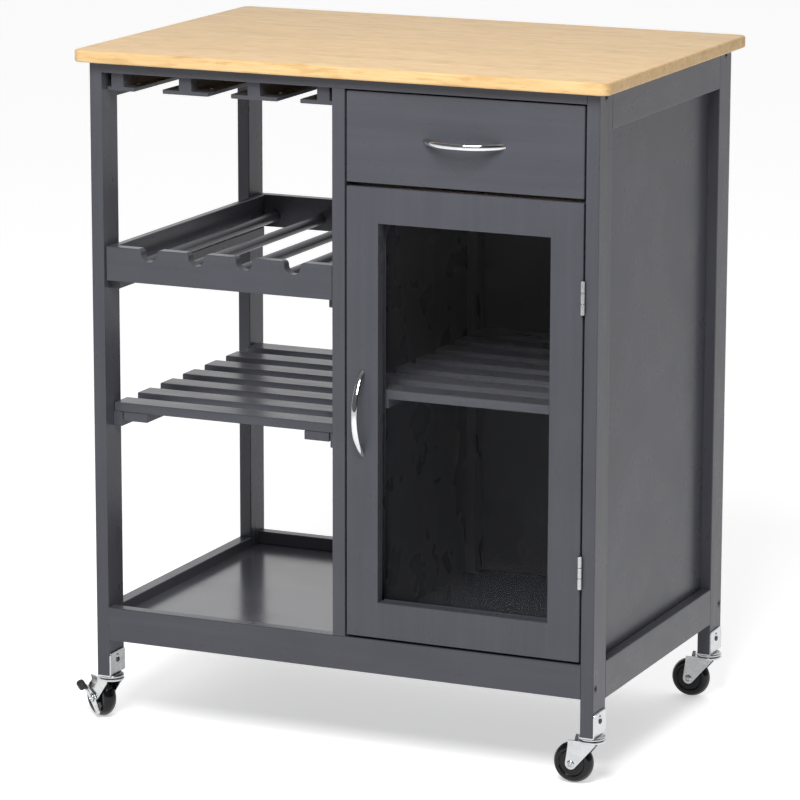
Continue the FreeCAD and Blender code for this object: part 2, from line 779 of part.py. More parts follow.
def build_racks_and_shelves(nodes):
    dowels = rack_dowels()
    nodes["stemware_rails"] = stemware_rails()
    nodes["bottle_rack_front_board"] = [rack_front_board().cut(dowels)]
    nodes["bottle_rack_rear_board"] = [rack_rear_board().cut(dowels)]
    nodes["bottle_rack_sides"] = rack_sides()
    nodes["bottle_rack_dowels"] = dowels
    open_bay = (left_leg_x, post_left_x)
    cabinet = (post_right_x, right_leg_x)
    open_slats, open_battens = shelf(open_bay, open_shelf_lift, open_shelf_setback)
    cabinet_slats, cabinet_battens = shelf(cabinet, cabinet_shelf_lift, cabinet_shelf_setback)
    nodes["open_shelf_slats"] = open_slats
    nodes["cabinet_shelf_slats"] = cabinet_slats
    nodes["shelf_battens"] = open_battens + cabinet_battens
    rear = rear_y - shelf_rear_gap
    rack_y = (front_y + rack_setback + rack_board_thickness, rear)
    open_y = (front_y + open_shelf_setback, rear)
    cabinet_y = (front_y + cabinet_shelf_setback, rear)
    nodes["shelf_cleats"] = (
        cleats(open_bay, rack_y, rack_z[0], rack_cleat_height)
        + cleats(open_bay, open_y, leg_z + open_shelf_lift - slat_thickness, cleat_height)
        + cleats(cabinet, cabinet_y, leg_z + cabinet_shelf_lift - slat_thickness, cleat_height))


def build_drawer(nodes):
    middle_x = (face_left_x + face_right_x) / 2
    handle, screws = placed_handle(middle_x, (drawer_z + drawer_top) / 2, False)
    for name, shape in drawer_pieces().items():
        nodes[name] = [shape]
    nodes["drawer_front"] = [nodes["drawer_front"][0].cut(screws)]
    nodes["drawer_handle"] = [handle]
    nodes["drawer_handle_screws"] = screws
    nodes["drawer_runners"] = drawer_runners()


def build_door(nodes):
    handle, screws = placed_handle(face_left_x + stile_width / 2, (door_z + door_top) / 2, True)
    stiles, rails = door_frame()
    nodes["door_stiles"] = [stile.cut(screws) for stile in stiles]
    nodes["door_rails"] = rails
    nodes["door_glass"] = [glass()]
    nodes["door_glass_beads"] = glass_beads()
    nodes["door_handle"] = [handle]
    nodes["door_handle_screws"] = screws
    nodes["door_strike_plate"] = [door_strike()]
    nodes["magnetic_catch"] = [magnetic_catch()]
    hinges = [hinge(door_z + hinge_inset), hinge(door_top - hinge_inset)]
    for name, pieces in zip(("hinge_frame_leaves", "hinge_door_leaves", "hinge_pins"), zip(*hinges)):
        nodes[name] = list(pieces)


def build_casters(nodes):
    """The two left casters have brakes."""
    for side, x in zip(("left", "right"), leg_centres_x):
        for end, y in zip(("front", "rear"), leg_centres_y):
            braked = side == "left"
            angle = left_caster_angle if (side, end) == ("left", "front") else free_caster_angle
            names = ("_caster_fork", "_caster_wheel", "_brake_lever")
            for part_name, group in zip(names, placed_caster(x, y, angle, braked)):
                nodes[end + "_" + side + part_name] = group


def main():
    nodes = {}
    build_frame(nodes)
    build_racks_and_shelves(nodes)
    build_drawer(nodes)
    build_door(nodes)
    build_casters(nodes)
    os.makedirs("parts", exist_ok=True)
    for name, solids in nodes.items():
        shape = solids[0] if len(solids) == 1 else Part.makeCompound(solids)
        shape.exportStep(os.path.join("parts", name + ".step"))
    print(len(nodes), "nodes,", sum(len(solids) for solids in nodes.values()), "pieces")


main()
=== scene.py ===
import json
import math
import bmesh
import bpy
from mathutils import Matrix, Vector


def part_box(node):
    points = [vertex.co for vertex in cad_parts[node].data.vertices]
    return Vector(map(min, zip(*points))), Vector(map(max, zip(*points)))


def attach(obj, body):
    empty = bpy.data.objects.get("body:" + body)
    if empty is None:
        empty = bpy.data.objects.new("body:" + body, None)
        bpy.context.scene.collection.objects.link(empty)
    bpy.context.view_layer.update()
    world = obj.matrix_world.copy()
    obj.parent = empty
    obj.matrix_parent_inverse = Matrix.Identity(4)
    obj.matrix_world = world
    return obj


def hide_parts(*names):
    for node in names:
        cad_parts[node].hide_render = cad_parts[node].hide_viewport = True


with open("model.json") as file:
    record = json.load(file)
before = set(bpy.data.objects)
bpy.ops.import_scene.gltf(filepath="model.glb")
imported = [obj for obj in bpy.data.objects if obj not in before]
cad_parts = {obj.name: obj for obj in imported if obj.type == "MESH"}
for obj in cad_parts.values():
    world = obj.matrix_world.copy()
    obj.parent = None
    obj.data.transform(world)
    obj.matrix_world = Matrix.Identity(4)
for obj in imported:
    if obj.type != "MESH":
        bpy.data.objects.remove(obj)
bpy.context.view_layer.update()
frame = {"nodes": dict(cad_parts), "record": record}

record = frame["record"]
bodyOf = {node: body for body, nodes in record["behaviour"]["bodies"].items() for node in nodes}
print("frame loaded:", len(frame["nodes"]), "nodes")


def newMaterial(name):
    material = bpy.data.materials.new(name)
    material.use_nodes = True
    tree = material.node_tree
    return material, tree, tree.nodes["Principled BSDF"]


def addNode(tree, kind, settings):
    node = tree.nodes.new(kind)
    for socket, value in settings.items():
        node.inputs[socket].default_value = value
    return node


def objectPattern(tree, scale):
    # the object's own coordinates, stretched by a scale for each axis
    coordinates = tree.nodes.new("ShaderNodeTexCoord")
    mapping = addNode(tree, "ShaderNodeMapping", {"Scale": scale})
    tree.links.new(coordinates.outputs["Object"], mapping.inputs["Vector"])
    return mapping.outputs["Vector"]


def noise(tree, scale, detail=4.0, roughness=0.55):
    # a single scale serves all three axes
    scales = [scale] * 3 if isinstance(scale, (int, float)) else scale
    node = addNode(tree, "ShaderNodeTexNoise", {"Scale": 1.0, "Detail": detail, "Roughness": roughness})
    tree.links.new(objectPattern(tree, scales), node.inputs["Vector"])
    return node.outputs["Fac"]


def ramp(tree, source, stops):
    node = tree.nodes.new("ShaderNodeValToRGB")
    while len(node.color_ramp.elements) < len(stops):
        node.color_ramp.elements.new(0.5)
    for element, (place, colour) in zip(node.color_ramp.elements, stops):
        element.position = place
        element.color = (*colour, 1)
    tree.links.new(source, node.inputs["Fac"])
    return node.outputs["Color"]


def mapRange(tree, source, start, stop, low, high):
    settings = {"From Min": start, "From Max": stop, "To Min": low, "To Max": high}
    node = addNode(tree, "ShaderNodeMapRange", settings)
    tree.links.new(source, node.inputs["Value"])
    return node


def spread(tree, source, low, high):
    # nearly all of a noise lies between 0.3 and 0.7
    return mapRange(tree, source, 0.3, 0.7, low, high).outputs["Result"]


def bump(tree, source, depth, before=None):
    node = addNode(tree, "ShaderNodeBump", {"Strength": 1.0, "Distance": depth})
    tree.links.new(source, node.inputs["Height"])
    if before:
        tree.links.new(before, node.inputs["Normal"])
    return node.outputs["Normal"]


def fillSocket(tree, socket, value):
    # a number, a colour, or another node's output
    if isinstance(value, (int, float)):
        socket.default_value = value
    elif isinstance(value, tuple):
        socket.default_value = (*value, 1)
    else:
        tree.links.new(value, socket)


def math2(tree, operation, first, second=None):
    node = tree.nodes.new("ShaderNodeMath")
    node.operation = operation
    fillSocket(tree, node.inputs[0], first)
    if second is not None:
        fillSocket(tree, node.inputs[1], second)
    return node.outputs[0]


def mixColour(tree, share, first, second, kind="MIX"):
    node = tree.nodes.new("ShaderNodeMix")
    node.data_type = "RGBA"
    node.blend_type = kind
    # sockets 6 and 7 are the two colours, and output 2 is the mixed one
    for index, value in ((0, share), (6, first), (7, second)):
        fillSocket(tree, node.inputs[index], value)
    return node.outputs[2]


def grainScale(axis, along, across):
    return [along if letter == axis else across for letter in "XYZ"]


def setShader(tree, shader, colour, roughness, normal, plain=None):
    # patterns on the three main sockets, plain numbers on the others
    for socket, source in (("Base Color", colour), ("Roughness", roughness), ("Normal", normal)):
        tree.links.new(source, shader.inputs[socket])
    for socket, value in (plain or {}).items():
        shader.inputs[socket].default_value = value


# scales given as pairs run along and across the grain
lacquer = {
    "deep": (0.058, 0.059, 0.070),
    "pale": (0.069, 0.070, 0.083),
    "shine": 0.2,
    "roughness": (0.26, 0.33),
    "streakScale": (5, 130),
    "cloudScale": 9,
    "sheenScale": (20, 60),
    "pores": 0.000006, "poreScale": 420,
    "ripple": 0.000010, "rippleScale": (7, 75),
}


def lacquerFinish(name, axis):
    # dark grey satin lacquer, with a trace of the grain under it
    material, tree, shader = newMaterial(name)
    streaks = noise(tree, grainScale(axis, *lacquer["streakScale"]), 6)
    clouds = noise(tree, lacquer["cloudScale"], 2)
    mixed = math2(tree, "MULTIPLY", math2(tree, "ADD", streaks, clouds), 0.5)
    colour = ramp(tree, mixed, [(0.35, lacquer["deep"]), (0.65, lacquer["pale"])])
    sheen = noise(tree, grainScale(axis, *lacquer["sheenScale"]), 3)
    roughness = spread(tree, sheen, *lacquer["roughness"])
    pores = bump(tree, noise(tree, lacquer["poreScale"], 2), lacquer["pores"])
    waves = noise(tree, grainScale(axis, *lacquer["rippleScale"]), 3)
    ripple = bump(tree, waves, lacquer["ripple"], pores)
    setShader(tree, shader, colour, roughness, ripple, {"Specular IOR Level": lacquer["shine"]})
    return material


panel = {
    "deep": (0.057, 0.058, 0.069),
    "pale": (0.066, 0.067, 0.080),
    "cloudScale": 6,
    "sheenScale": 14,
    "peel": 0.000006, "peelScale": 260,
    # shine, then roughness
    "gloss": {"greyPanel": (0.15, (0.25, 0.32)), "greyTray": (0.45, (0.17, 0.22))},
}


def panelFinish(name):
    # the same colour on fibreboard: flatter, with a slight orange peel
    material, tree, shader = newMaterial(name)
    shine, gloss = panel["gloss"][name]
    clouds = noise(tree, panel["cloudScale"], 3)
    colour = ramp(tree, clouds, [(0.3, panel["deep"]), (0.7, panel["pale"])])
    roughness = spread(tree, noise(tree, panel["sheenScale"], 3), *gloss)
    peel = bump(tree, noise(tree, panel["peelScale"], 2), panel["peel"])
    setShader(tree, shader, colour, roughness, peel, {"Specular IOR Level": shine})
    return material


woodTop = {
    "stave": 0.034,             # width of one strip
    "length": 0.26,
    "slip": 7.0,                # how far the rows are shifted against each other
    "toneShare": 0.55,
    "light": (0.665, 0.462, 0.232),
    "middle": (0.615, 0.412, 0.196),
    "dark": (0.545, 0.352, 0.155),
    "shine": 0.2,
    "roughness": (0.36, 0.50),
    "figureScale": (7, 50, 50),
    "fibreScale": (22, 520, 520), "fibreShare": 0.9,
    "fleckScale": (34, 210, 210), "fleckShare": 0.8,
    "grain": 0.00008,
}


def staveTone(tree):
    # one random tone for each glued stave, which is long in X and narrow in Y
    coordinates = tree.nodes.new("ShaderNodeTexCoord")
    parts = tree.nodes.new("ShaderNodeSeparateXYZ")
    tree.links.new(coordinates.outputs["Object"], parts.inputs[0])
    row = math2(tree, "FLOOR", math2(tree, "DIVIDE", parts.outputs["Y"], woodTop["stave"]))
    slip = tree.nodes.new("ShaderNodeTexWhiteNoise")
    slip.noise_dimensions = "1D"
    tree.links.new(row, slip.inputs["W"])
    lengths = math2(tree, "DIVIDE", parts.outputs["X"], woodTop["length"])
    shifted = math2(tree, "ADD", lengths, math2(tree, "MULTIPLY", slip.outputs["Value"], woodTop["slip"]))
    column = math2(tree, "FLOOR", shifted)
    tone = tree.nodes.new("ShaderNodeTexWhiteNoise")
    tone.noise_dimensions = "2D"
    pair = tree.nodes.new("ShaderNodeCombineXYZ")
    tree.links.new(row, pair.inputs["X"])
    tree.links.new(column, pair.inputs["Y"])
    tree.links.new(pair.outputs[0], tone.inputs["Vector"])
    return tone.outputs["Value"]


def worktopFinish():
    # pale glued staves under satin lacquer, grain along X
    material, tree, shader = newMaterial("paleStaves")
    tone = math2(tree, "MULTIPLY", staveTone(tree), woodTop["toneShare"])
    figure = noise(tree, woodTop["figureScale"], 6, 0.6)
    fibres = noise(tree, woodTop["fibreScale"], 5, 0.65)
    flecks = noise(tree, woodTop["fleckScale"], 2, 0.5)
    shades = [(0.30, woodTop["dark"]), (0.50, woodTop["middle"]), (0.68, woodTop["light"])]
    colour = mixColour(tree, tone, ramp(tree, figure, shades), woodTop["light"])
    fine = ramp(tree, fibres, [(0.36, (0.88, 0.86, 0.82)), (0.60, (1.04, 1.04, 1.04))])
    colour = mixColour(tree, woodTop["fibreShare"], colour, fine, "MULTIPLY")
    marks = ramp(tree, flecks, [(0.52, (1.0, 1.0, 1.0)), (0.62, (0.86, 0.80, 0.71))])
    colour = mixColour(tree, woodTop["fleckShare"], colour, marks, "MULTIPLY")
    roughness = spread(tree, fibres, *woodTop["roughness"])
    grain = bump(tree, fibres, woodTop["grain"])
    setShader(tree, shader, colour, roughness, grain, {"Specular IOR Level": woodTop["shine"]})
    return material


plainWood = {
    "light": (0.62, 0.45, 0.27),
    "dark": (0.47, 0.31, 0.16),
    "roughness": (0.50, 0.66),
    "figureScale": (3, 50),
    "fibreScale": (20, 420), "fibreShare": 0.8,
    "grain": 0.00012,
}


def plainWoodFinish(name, axis):
    material, tree, shader = newMaterial(name)
    figure = noise(tree, grainScale(axis, *plainWood["figureScale"]), 6, 0.6)
    fibres = noise(tree, grainScale(axis, *plainWood["fibreScale"]), 4, 0.6)
    colour = ramp(tree, figure, [(0.32, plainWood["dark"]), (0.66, plainWood["light"])])
    fine = ramp(tree, fibres, [(0.36, (0.88, 0.86, 0.83)), (0.64, (1.0, 1.0, 1.0))])
    colour = mixColour(tree, plainWood["fibreShare"], colour, fine, "MULTIPLY")
    roughness = spread(tree, fibres, *plainWood["roughness"])
    setShader(tree, shader, colour, roughness, bump(tree, fibres, plainWood["grain"]))
    return material


metals = {
    "chrome": {"dark": (0.60, 0.61, 0.63), "pale": (0.68, 0.69, 0.71), "roughness": (0.04, 0.08),
               "scale": 160, "bump": 0.000002},
    "nickel": {"dark": (0.36, 0.36, 0.37), "pale": (0.46, 0.46, 0.47), "roughness": (0.16, 0.26),
               "scale": 200, "bump": 0.000003},
    "zinc": {"dark": (0.50, 0.51, 0.52), "pale": (0.60, 0.61, 0.62), "roughness": (0.20, 0.30),
             "scale": 120, "bump": 0.000006},
    "darkSteel": {"dark": (0.05, 0.05, 0.055), "pale": (0.09, 0.09, 0.095), "roughness": (0.32, 0.45),
                  "scale": 300, "bump": 0.00001},
}


def metalFinish(name):
    look = metals[name]
    material, tree, shader = newMaterial(name)
    cloud = noise(tree, look["scale"], 4)
    colour = ramp(tree, cloud, [(0.3, look["dark"]), (0.7, look["pale"])])
    roughness = spread(tree, cloud, *look["roughness"])
    dents = bump(tree, noise(tree, look["scale"] * 3, 3), look["bump"])
    setShader(tree, shader, colour, roughness, dents, {"Metallic": 1.0})
    return material


glossyWheel = {
    "deep": (0.003, 0.003, 0.0035),
    "pale": (0.006, 0.006, 0.007),
    "roughness": (0.14, 0.24),
    "cloudScale": 90,
    "wear": 0.00001, "wearScale": 500,
    "shine": 0.22,
    "coat": 0.15, "coatRoughness": 0.08,
}


def wheelFinish():
    # hard glossy black, a little scuffed where it rolls
    material, tree, shader = newMaterial("glossyBlack")
    cloud = noise(tree, glossyWheel["cloudScale"], 4)
    colour = ramp(tree, cloud, [(0.35, glossyWheel["deep"]), (0.7, glossyWheel["pale"])])
    roughness = spread(tree, cloud, *glossyWheel["roughness"])
    wear = bump(tree, noise(tree, glossyWheel["wearScale"], 3), glossyWheel["wear"])
    setShader(tree, shader, colour, roughness, wear, {
        "Specular IOR Level": glossyWheel["shine"],
        "Coat Weight": glossyWheel["coat"],
        "Coat Roughness": glossyWheel["coatRoughness"],
    })
    return material


plastic = {
    "deep": (0.012, 0.012, 0.013),
    "pale": (0.024, 0.024, 0.026),
    "roughness": (0.45, 0.6),
    "grain": 0.00004, "grainScale": 300,
}


def blackPlasticFinish():
    material, tree, shader = newMaterial("mattBlack")
    cloud = noise(tree, plastic["grainScale"], 3)
    colour = ramp(tree, cloud, [(0.35, plastic["deep"]), (0.7, plastic["pale"])])
    roughness = spread(tree, cloud, *plastic["roughness"])
    setShader(tree, shader, colour, roughness, bump(tree, cloud, plastic["grain"]))
    return material


glass = {
    "colour": (0.85, 0.90, 0.88),
    "roughness": (0.0, 0.05),
    "smearScale": (7, 7, 11),
    "ior": 1.45,
    "alpha": 0.08,
}


def glassFinish():
    # clear float glass: most light goes straight through, and the rest gives it its gloss
    material, tree, shader = newMaterial("clearPane")
    smear = noise(tree, glass["smearScale"], 3)
    tree.links.new(spread(tree, smear, *glass["roughness"]), shader.inputs["Roughness"])
    shader.inputs["Base Color"].default_value = (*glass["colour"], 1)
    shader.inputs["Transmission Weight"].default_value = 1.0
    shader.inputs["IOR"].default_value = glass["ior"]
    shader.inputs["Alpha"].default_value = glass["alpha"]
    return material


grey = {axis: lacquerFinish("greyLacquer" + axis, axis) for axis in "XYZ"}
pale = {axis: plainWoodFinish("plainWood" + axis, axis) for axis in "XY"}
greyPanel, greyTray = panelFinish("greyPanel"), panelFinish("greyTray")
staves = worktopFinish()
chrome, nickel, zinc, darkSteel = [metalFinish(name) for name in metals]
glossyBlack = wheelFinish()
mattBlack = blackPlasticFinish()
clearPane = glassFinish()
print("finishes made")


def camel(node):
    words = node.split("_")
    return words[0] + "".join(word.capitalize() for word in words[1:])


def addPiece(name, bm, material, nodes, smoothAngle=40):
    # turns a bmesh into a piece that rides on the body of the first node it stands for
    mesh = bpy.data.meshes.new(name)
    bm.to_mesh(mesh)
    bm.free()
    mesh.materials.append(material)
    mesh.shade_smooth()
    mesh.set_sharp_from_angle(angle=math.radians(smoothAngle))
    piece = bpy.data.objects.new(name, mesh)
    bpy.context.scene.collection.objects.link(piece)
    finish = piece.modifiers.new("evenShading", "WEIGHTED_NORMAL")
    finish.keep_sharp = True
    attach(piece, bodyOf[nodes[0]])
    return piece


def standFor(piece, *nodes):
    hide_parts(*nodes)
    return piece


weld = 1e-6                     # points closer than this are one


def nodeCopy(node):
    bm = bmesh.new()
    bm.from_mesh(frame["nodes"][node].data)
    bmesh.ops.remove_doubles(bm, verts=bm.verts, dist=weld)
    bmesh.ops.dissolve_limit(bm, angle_limit=0.01, verts=bm.verts, edges=bm.edges)
    return bm


def inOrder(items):
    # each item once, in the order met, so that every run gives the same mesh
    return list(dict.fromkeys(items))


def vertsOf(items):
    return [item for item in items if isinstance(item, bmesh.types.BMVert)]


def roundOff(bm, geom, width, segments, affect="EDGES", clamp=True):
    bmesh.ops.bevel(bm, geom=geom, offset=width, offset_type="OFFSET", segments=segments, profile=0.5,
                    affect=affect, clamp_overlap=clamp, material=-1)


def cutAcross(bm, point, normal, dropBeyond=False):
    bmesh.ops.bisect_plane(bm, geom=bm.verts[:] + bm.edges[:] + bm.faces[:], plane_co=point,
                           plane_no=normal, clear_outer=dropBeyond)


def easeEdges(bm, width, segments=3, shortest=0.004, angle=40, along=None):
    # rounds the outer arrises that are longer than the shortest, or only those along one axis
    arrises = [edge for edge in bm.edges if len(edge.link_faces) == 2 and edge.is_convex
               and edge.calc_face_angle() > math.radians(angle) and edge.calc_length() > shortest]
    if along is not None:
        arrises = [edge for edge in arrises
                   if abs((edge.verts[0].co - edge.verts[1].co).normalized()[along]) > 0.99]
    roundOff(bm, arrises, width, segments, clamp=False)


def easedNode(node, material, width, segments=3, shortest=0.004, along=None):
    bm = nodeCopy(node)
    easeEdges(bm, width, segments, shortest, along=along)
    return standFor(addPiece(camel(node), bm, material, [node]), node)


def block(bm, low, high):
    # a cube stretched between two corners
    size = [b - a for a, b in zip(low, high)]
    middle = [(a + b) / 2 for a, b in zip(low, high)]
    place = Matrix.Translation(middle) @ Matrix.Diagonal((*size, 1))
    return bmesh.ops.create_cube(bm, size=1, matrix=place)["verts"]


def rod(bm, radius, length, place, steps):
    bmesh.ops.create_cone(bm, cap_ends=True, segments=steps, radius1=radius, radius2=radius,
                          depth=length, matrix=place)


def turned(bm, profile, place=Matrix(), steps=32):
    # spins (radius, height) points about Z, then moves them to their place
    points = [bm.verts.new((radius, 0, height)) for radius, height in profile]
    edges = [bm.edges.new(pair) for pair in zip(points, points[1:])]
    before = set(bm.verts) - set(points)
    bmesh.ops.spin(bm, geom=points + edges, cent=(0, 0, 0), axis=(0, 0, 1), angle=math.tau, steps=steps,
                   use_merge=True)
    made = [vert for vert in bm.verts if vert not in before]
    bmesh.ops.remove_doubles(bm, verts=made, dist=weld)
    made = [vert for vert in bm.verts if vert not in before]
    bmesh.ops.recalc_face_normals(bm, faces=inOrder(face for vert in made for face in vert.link_faces))
    bmesh.ops.transform(bm, matrix=place, verts=made)
    return made


def facing(direction):
    # turns +Z to a direction
    return Vector(direction).to_track_quat("Z", "Y").to_matrix().to_4x4()


def at(x, y, z, direction=(0, 0, 1)):
    return Matrix.Translation((x, y, z)) @ facing(direction)


def islandBoxes(node):
    # lowest and highest corner of each separate solid in a node
    bm = nodeCopy(node)
    left = set(bm.verts)
    boxes = []
    while left:
        stack = [left.pop()]
        found = []
        while stack:
            vert = stack.pop()
            found.append(vert.co.copy())
            for edge in vert.link_edges:
                other = edge.other_vert(vert)
                if other in left:
                    left.remove(other)
                    stack.append(other)
        boxes.append(tuple(Vector(pick(point[axis] for point in found) for axis in range(3))
                           for pick in (min, max)))
    bm.free()
    return sorted(boxes, key=lambda box: tuple(round(value, 4) for value in box[0]))


def boardSet(node, material, width, segments=3):
    # one eased board for each solid of a node
    bm = bmesh.new()
    for low, high in islandBoxes(node):
        block(bm, low, high)
    easeEdges(bm, width, segments)
    return standFor(addPiece(camel(node), bm, material, [node]), node)


squareEdge = 1.2                # faces that meet at more than this many radians have a square edge

worktop = {"corner": 0.012, "cornerSteps": 10, "edge": 0.0028, "edgeSteps": 5}


def makeWorktop():
    bm = bmesh.new()
    block(bm, *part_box("worktop"))
    # the upright edges are as long as the board is thick
    corners = [edge for edge in bm.edges if abs(edge.verts[0].co.z - edge.verts[1].co.z) > 0.01]
    roundOff(bm, corners, worktop["corner"], worktop["cornerSteps"])
    rims = [edge for edge in bm.edges if edge.calc_face_angle() > squareEdge]
    roundOff(bm, rims, worktop["edge"], worktop["edgeSteps"])
    standFor(addPiece("worktopBoard", bm, staves, ["worktop"]), "worktop")


makeWorktop()
print("worktop made")


arris = {"frame": 0.0012, "face": 0.0018, "door": 0.00126, "slat": 0.0014, "small": 0.0008, "hinge": 0.0004}

for end in ("front", "rear"):
    for side in ("left", "right"):
        easedNode(end + "_" + side + "_leg", grey["Z"], arris["frame"], along=2)
    easedNode(end + "_divider_post", grey["Z"], arris["frame"], along=2)
    easedNode(end + "_top_rail", grey["X"], arris["small"], along=0)
    easedNode(end + "_bottom_rail", grey["X"], arris["frame"], along=0)
for side in ("left", "right"):
    easedNode(side + "_top_rail", grey["Y"], arris["frame"], along=1)
    easedNode(side + "_bottom_rail", grey["Y"], arris["frame"], along=1)

for node in ("right_side_panel", "divider_panel", "back_panel"):
    frame["nodes"][node].material_slots[0].material = greyPanel
frame["nodes"]["bottom_panel"].material_slots[0].material = greyTray

boardSet("open_shelf_slats", grey["X"], arris["slat"])
boardSet("cabinet_shelf_slats", grey["X"], arris["slat"])
boardSet("shelf_battens", grey["Y"], arris["small"])
easedNode("shelf_cleats", grey["Y"], arris["small"])
easedNode("stemware_rails", grey["Y"], arris["small"], shortest=0.0)
easedNode("bottle_rack_front_board", grey["X"], arris["small"], shortest=0.0)
easedNode("bottle_rack_rear_board", grey["X"], arris["frame"])
boardSet("bottle_rack_sides", grey["Y"], arris["frame"])

dowel = {"bevel": 0.0006, "steps": 40}


def makeDowels():
    bm = bmesh.new()
    for low, high in islandBoxes("bottle_rack_dowels"):
        middle = (low + high) / 2
        rod(bm, (high.z - low.z) / 2, high.y - low.y, at(*middle, (0, 1, 0)), dowel["steps"])
    easeEdges(bm, dowel["bevel"], 2, 0.0, 60)
    standFor(addPiece("bottleRackDowels", bm, grey["Y"], ["bottle_rack_dowels"]), "bottle_rack_dowels")


makeDowels()
print("frame and racks made")


drawerWood = {"drawer_left_side": "Y", "drawer_right_side": "Y", "drawer_back": "X", "drawer_runners": "Y"}

for node, axis in drawerWood.items():
    easedNode(node, pale[axis], arris["small"])
frame["nodes"]["drawer_bottom"].material_slots[0].material = pale["X"]
easedNode("drawer_front", grey["X"], arris["face"], 4)


def windowOutline(bm, face, x, z):
    # insets a face of the door by any small width, then fits the new edge loop to an outline
    bmesh.ops.inset_individual(bm, faces=[face], thickness=0.02, use_even_offset=True)
    for vert in face.verts:
        vert.co.x = x[0] if vert.co.x < (x[0] + x[1]) / 2 else x[1]
        vert.co.z = z[0] if vert.co.z < (z[0] + z[1]) / 2 else z[1]


def makeDoorFrame():
    # one seamless frame, stepped at the back for the pane and its beads
    stiles = islandBoxes("door_stiles")
    rails = sorted(islandBoxes("door_rails"), key=lambda box: box[0].z)
    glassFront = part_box("door_glass")[0][1]
    beadLow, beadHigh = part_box("door_glass_beads")
    bm = bmesh.new()
    block(bm, stiles[0][0], stiles[1][1])
    front = min(bm.faces, key=lambda face: face.calc_center_median().y)
    rear = max(bm.faces, key=lambda face: face.calc_center_median().y)
    windowX = (stiles[0][1].x, stiles[1][0].x)
    windowZ = (rails[0][1].z, rails[1][0].z)
    windowOutline(bm, front, windowX, windowZ)
    windowOutline(bm, rear, (beadLow[0], beadHigh[0]), (beadLow[2], beadHigh[2]))
    step = bmesh.ops.extrude_discrete_faces(bm, faces=[rear])["faces"][0]
    for vert in step.verts:
        vert.co.y = glassFront
    windowOutline(bm, step, windowX, windowZ)
    loops = list(front.edges) + list(step.edges)
    bmesh.ops.delete(bm, geom=[front, step], context="FACES_ONLY")
    bmesh.ops.bridge_loops(bm, edges=loops)
    bmesh.ops.recalc_face_normals(bm, faces=bm.faces)
    easeEdges(bm, arris["door"], 4)
    piece = addPiece("doorFrame", bm, grey["Z"], ["door_stiles"])
    standFor(piece, "door_stiles", "door_rails")


makeDoorFrame()
easedNode("door_glass_beads", grey["Z"], arris["small"])
pane = frame["nodes"]["door_glass"]
pane.material_slots[0].material = clearPane
pane.visible_diffuse = pane.visible_shadow = False      # daylight reaches the shelf straight through it

handle = {
    "centres": 0.096,
    "reach": 0.0228,            # middle of the bar, out from the face
    "depth": 0.0021,            # half the bar, away from the face
    "height": 0.0040,           # half the bar, across
    "footSpread": 0.75,         # how much deeper the bar is at its feet
    "waist": 0.12,              # how much lower it is in the middle
    "sink": 0.0004,             # feet run this far into the face
    "spare": 0.09,              # radians spun past each foot, then cut off
    "sectionSteps": 28,
    "steps": 72,
}


def makeHandle(name, node, upright):
    # a bow spun about its own centre, flattened, thicker at the feet and cut off at the face
    half = handle["centres"] / 2
    radius = (half ** 2 + handle["reach"] ** 2) / (2 * handle["reach"])
    centreY = radius - handle["reach"]
    sweep = math.asin(half / radius) + handle["spare"]
    bm = bmesh.new()
    section = bmesh.ops.create_circle(bm, cap_ends=False, segments=handle["sectionSteps"], radius=1)["verts"]
    flat = Matrix.Diagonal((handle["depth"], handle["height"], 1, 1))
    bmesh.ops.transform(bm, verts=section, matrix=flat)
    # the section stands across the bar: its first axis away from the centre, its second along Z
    axes = Matrix(((0, 0, 1), (-1, 0, 0), (0, 1, 0))).to_4x4()
    bmesh.ops.transform(bm, verts=section, matrix=Matrix.Translation((0, centreY - radius, 0)) @ axes)
    bmesh.ops.rotate(bm, verts=section, cent=(0, centreY, 0), matrix=Matrix.Rotation(-sweep, 3, "Z"))
    bmesh.ops.spin(bm, geom=bm.verts[:] + bm.edges[:], cent=(0, centreY, 0), axis=(0, 0, 1),
                   angle=2 * sweep, steps=handle["steps"])
    for vert in bm.verts:
        out = Vector((vert.co.x, vert.co.y - centreY, 0))
        share = min(1.0, abs(vert.co.x) / half)
        gap = out.length - radius
        vert.co += out.normalized() * gap * handle["footSpread"] * share ** 3
        vert.co.z *= 1 - handle["waist"] * (1 - share) ** 2
    cutAcross(bm, (0, handle["sink"], 0), (0, 1, 0), dropBeyond=True)
    bmesh.ops.holes_fill(bm, edges=[edge for edge in bm.edges if edge.is_boundary])
    bmesh.ops.recalc_face_normals(bm, faces=bm.faces)
    low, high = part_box(node)
    middle = (Vector(low) + Vector(high)) / 2
    turn = Matrix.Rotation(math.pi / 2, 4, "Y") if upright else Matrix()
    place = Matrix.Translation((middle.x, high[1], middle.z)) @ turn
    bmesh.ops.transform(bm, verts=bm.verts, matrix=place)
    standFor(addPiece(name, bm, chrome, [node], 50), node)


makeHandle("drawerHandleBow", "drawer_handle", False)
makeHandle("doorHandleBow", "door_handle", True)
print("drawer and door made")


